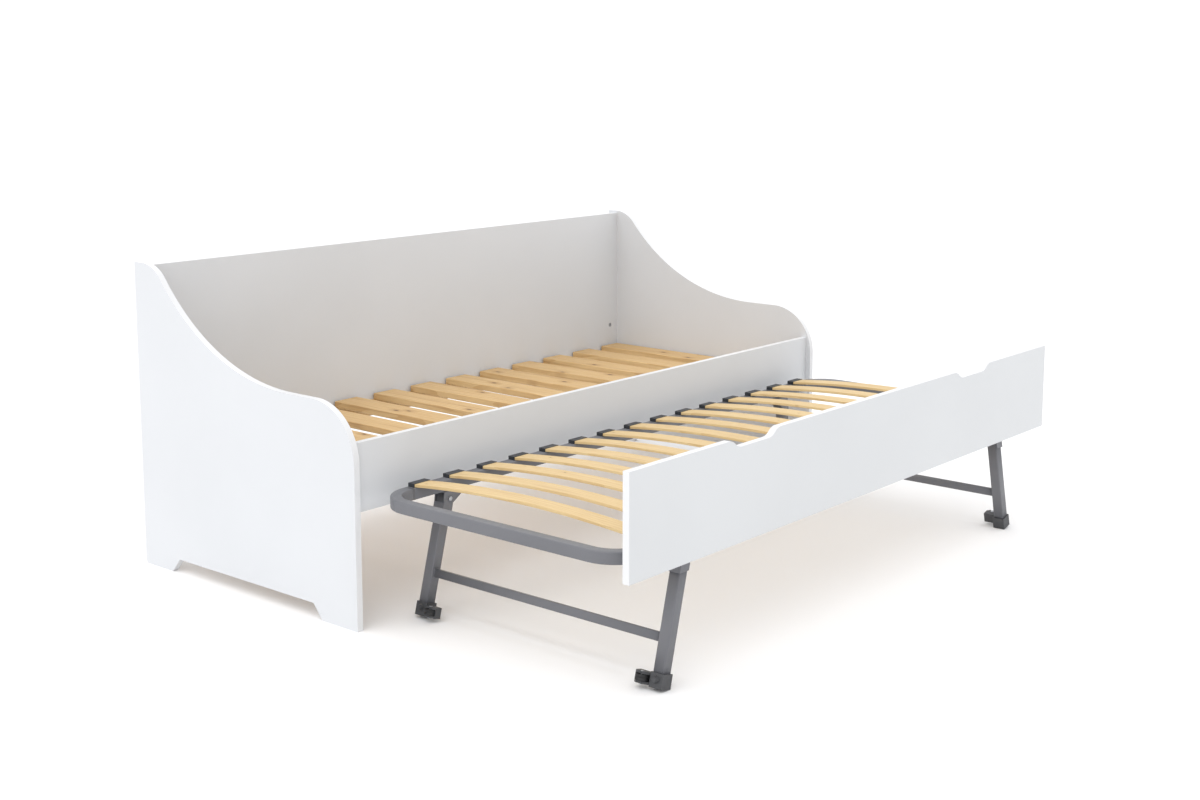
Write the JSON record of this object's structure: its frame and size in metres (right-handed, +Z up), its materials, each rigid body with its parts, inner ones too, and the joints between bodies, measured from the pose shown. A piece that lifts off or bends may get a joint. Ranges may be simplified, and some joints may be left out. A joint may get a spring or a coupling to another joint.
{
  "type": "trundle bed",
  "caption": "White daybed with swept side panels and a slatted trundle that rises on folding legs and stows under it.",
  "frame": {"origin": "on the floor, in the middle of the outline of the daybed and the raised trundle", "axes": "+X along the bed, +Y to the daybed's back, +Z up"},
  "size_m": [2.066, 1.738, 0.858],
  "materials": {
    "white_board": "white faced board, satin",
    "pine": "planed pine with knots",
    "bent_beech": "bent laminated beech, satin",
    "dowel_beech": "turned beech",
    "grey_frame": "grey powder coat, satin",
    "zinc_steel": "zinc plated",
    "holder_plastic": "moulded, charcoal",
    "foot_plastic": "moulded, charcoal",
    "wheel_plastic": "moulded, near black"
  },
  "bodies": {
    "daybed": {"back_panel": "white_board", "batten_screws": "zinc_steel", "cam_bolts": "zinc_steel", "cam_fittings": "zinc_steel", "daybed_slat_01": "pine", "daybed_slat_02": "pine", "daybed_slat_03": "pine", "daybed_slat_04": "pine", "daybed_slat_05": "pine", "daybed_slat_06": "pine", "daybed_slat_07": "pine", "daybed_slat_08": "pine", "daybed_slat_09": "pine", "daybed_slat_10": "pine", "daybed_slat_11": "pine", "daybed_slat_12": "pine", "daybed_slat_13": "pine", "front_rail": "white_board", "left_side_panel": "white_board", "right_side_panel": "white_board", "slat_battens": "pine", "slat_pins": "dowel_beech", "wood_dowels": "dowel_beech"},
    "trundle": {"frame_back_rail": "grey_frame", "frame_front_rail": "grey_frame", "left_end_bow": "grey_frame", "leg_brackets": "grey_frame", "panel_brackets": "grey_frame", "panel_screws": "zinc_steel", "pivot_bolts": "zinc_steel", "right_end_bow": "grey_frame", "slat_holders": "holder_plastic", "sprung_slat_01": "bent_beech", "sprung_slat_02": "bent_beech", "sprung_slat_03": "bent_beech", "sprung_slat_04": "bent_beech", "sprung_slat_05": "bent_beech", "sprung_slat_06": "bent_beech", "sprung_slat_07": "bent_beech", "sprung_slat_08": "bent_beech", "sprung_slat_09": "bent_beech", "sprung_slat_10": "bent_beech", "sprung_slat_11": "bent_beech", "sprung_slat_12": "bent_beech", "sprung_slat_13": "bent_beech", "sprung_slat_14": "bent_beech", "sprung_slat_15": "bent_beech", "trundle_front_panel": "white_board"},
    "left_legs": {"left_leg_tubes": "grey_frame", "left_crossbar": "grey_frame", "left_foot_caps": "foot_plastic", "left_caster_axles": "zinc_steel"},
    "right_legs": {"right_leg_tubes": "grey_frame", "right_crossbar": "grey_frame", "right_foot_caps": "foot_plastic", "right_caster_axles": "zinc_steel"},
    "left_front_wheel": {"left_front_wheel": "wheel_plastic"},
    "left_back_wheel": {"left_back_wheel": "wheel_plastic"},
    "right_front_wheel": {"right_front_wheel": "wheel_plastic"},
    "right_back_wheel": {"right_back_wheel": "wheel_plastic"}
  },
  "joints": [
    {"name": "trundle_lower", "type": "slide", "parent": "daybed", "child": "trundle", "axis": [0, 0, -1], "range_m": [0, 0.2615]},
    {"name": "left_legs_fold", "type": "hinge", "parent": "trundle", "child": "left_legs", "pos_m": [-0.7689, -0.446, 0.299], "axis": [0, -1, 0], "range_deg": [0, 104.79]},
    {"name": "right_legs_fold", "type": "hinge", "parent": "trundle", "child": "right_legs", "pos_m": [0.7689, -0.446, 0.299], "axis": [0, 1, 0], "range_deg": [0, 104.79]},
    {"name": "left_front_wheel_roll", "type": "hinge", "parent": "left_legs", "child": "left_front_wheel", "pos_m": [-0.86355, -0.788, 0.02669], "axis": [-0.2553, 0, -0.9669], "continuous": true},
    {"name": "left_back_wheel_roll", "type": "hinge", "parent": "left_legs", "child": "left_back_wheel", "pos_m": [-0.86355, -0.104, 0.02669], "axis": [-0.2553, 0, -0.9669], "continuous": true},
    {"name": "right_front_wheel_roll", "type": "hinge", "parent": "right_legs", "child": "right_front_wheel", "pos_m": [0.86355, -0.788, 0.02669], "axis": [0.2553, 0, -0.9669], "continuous": true},
    {"name": "right_back_wheel_roll", "type": "hinge", "parent": "right_legs", "child": "right_back_wheel", "pos_m": [0.86355, -0.104, 0.02669], "axis": [0.2553, 0, -0.9669], "continuous": true}
  ],
  "couplings": [
    {"joint": "left_legs_fold", "follows": "trundle_lower", "rad_per_m": 6.993},
    {"joint": "right_legs_fold", "follows": "trundle_lower", "rad_per_m": 6.993}
  ]
}
